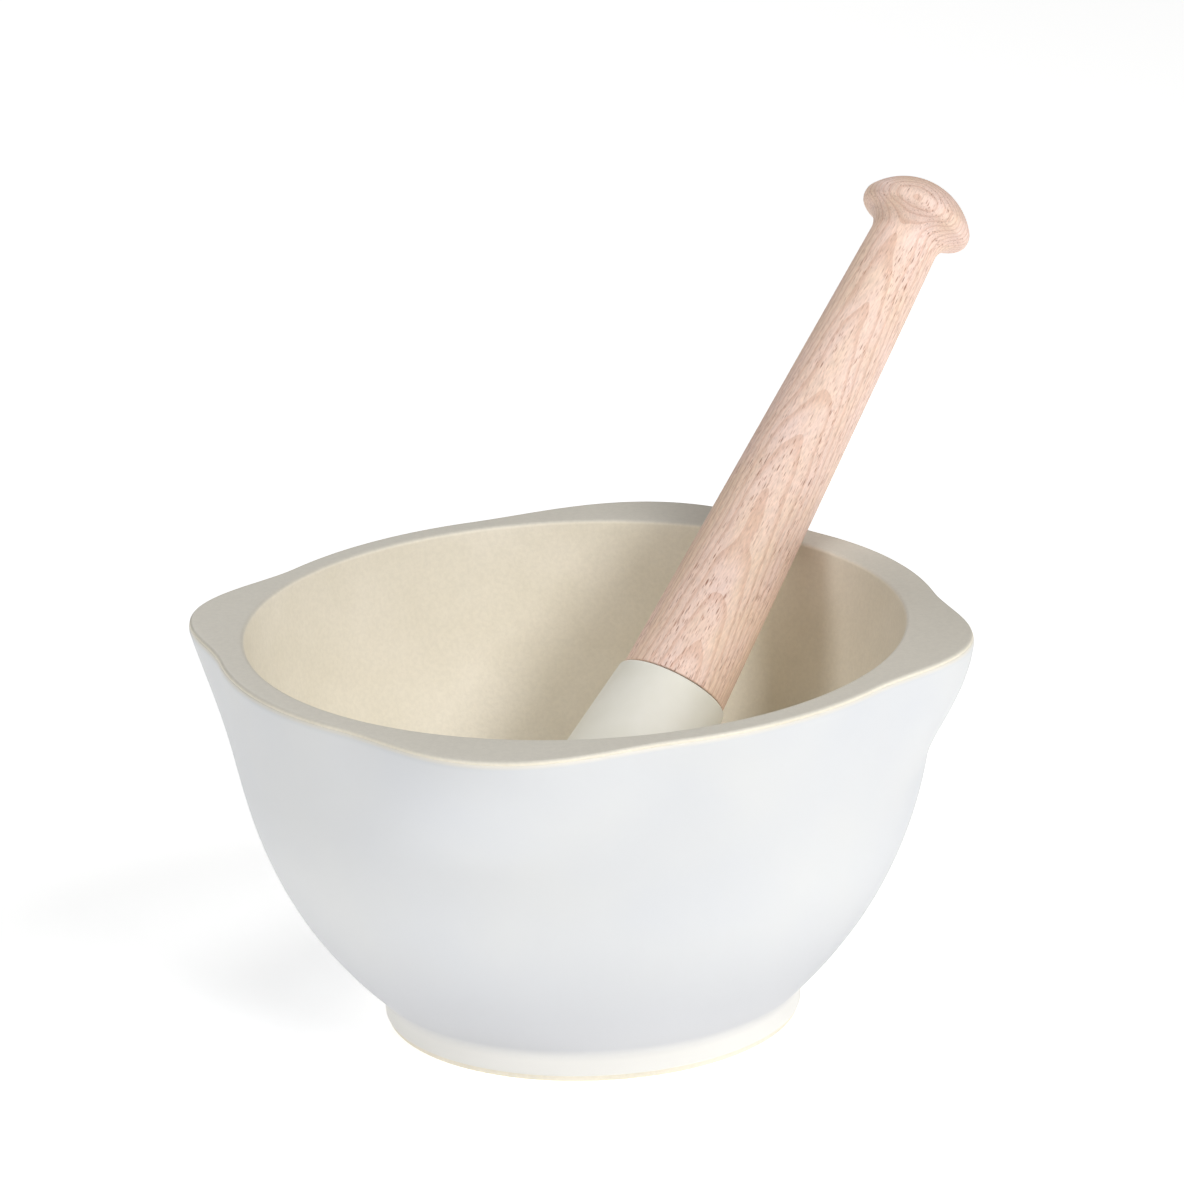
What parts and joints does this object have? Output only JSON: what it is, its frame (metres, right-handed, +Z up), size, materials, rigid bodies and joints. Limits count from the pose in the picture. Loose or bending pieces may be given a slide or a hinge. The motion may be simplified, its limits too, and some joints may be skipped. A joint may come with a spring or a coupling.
{
  "type": "mortar and pestle",
  "caption": "Stoneware mortar with a flat rim, pouring lips and a ring foot, white outside and cream inside, with a ceramic-headed pestle on a turned beech handle.",
  "frame": {"origin": "centre of the foot's standing ring, on the bowl's axis, at the surface it stands on", "axes": "+Z up along the bowl's axis, with the hollow 1.2 mm off it towards -X and -Y; the four lips point along +X, +Y, -X and -Y; the pestle leans over the rim 62 degrees from +X towards +Y"},
  "size_m": [0.1936, 0.2285, 0.1786],
  "materials": {
    "stoneware": "matt unglazed, cream",
    "white_coat": "satin white coat",
    "pestle_stoneware": "matt unglazed, pale grey cream",
    "adhesive": "cured resin glue",
    "beech": "sanded, oiled"
  },
  "bodies": {
    "mortar": {"mortar_body": "stoneware", "outer_glaze": "white_coat"},
    "pestle": {"pestle_head": "pestle_stoneware", "handle_adhesive": "adhesive", "pestle_handle": "beech"}
  },
  "joints": [
    {"name": "pestle_lift", "type": "slide", "parent": "mortar", "child": "pestle", "axis": [0, 0, 1], "range_m": [0, 0.1]}
  ]
}
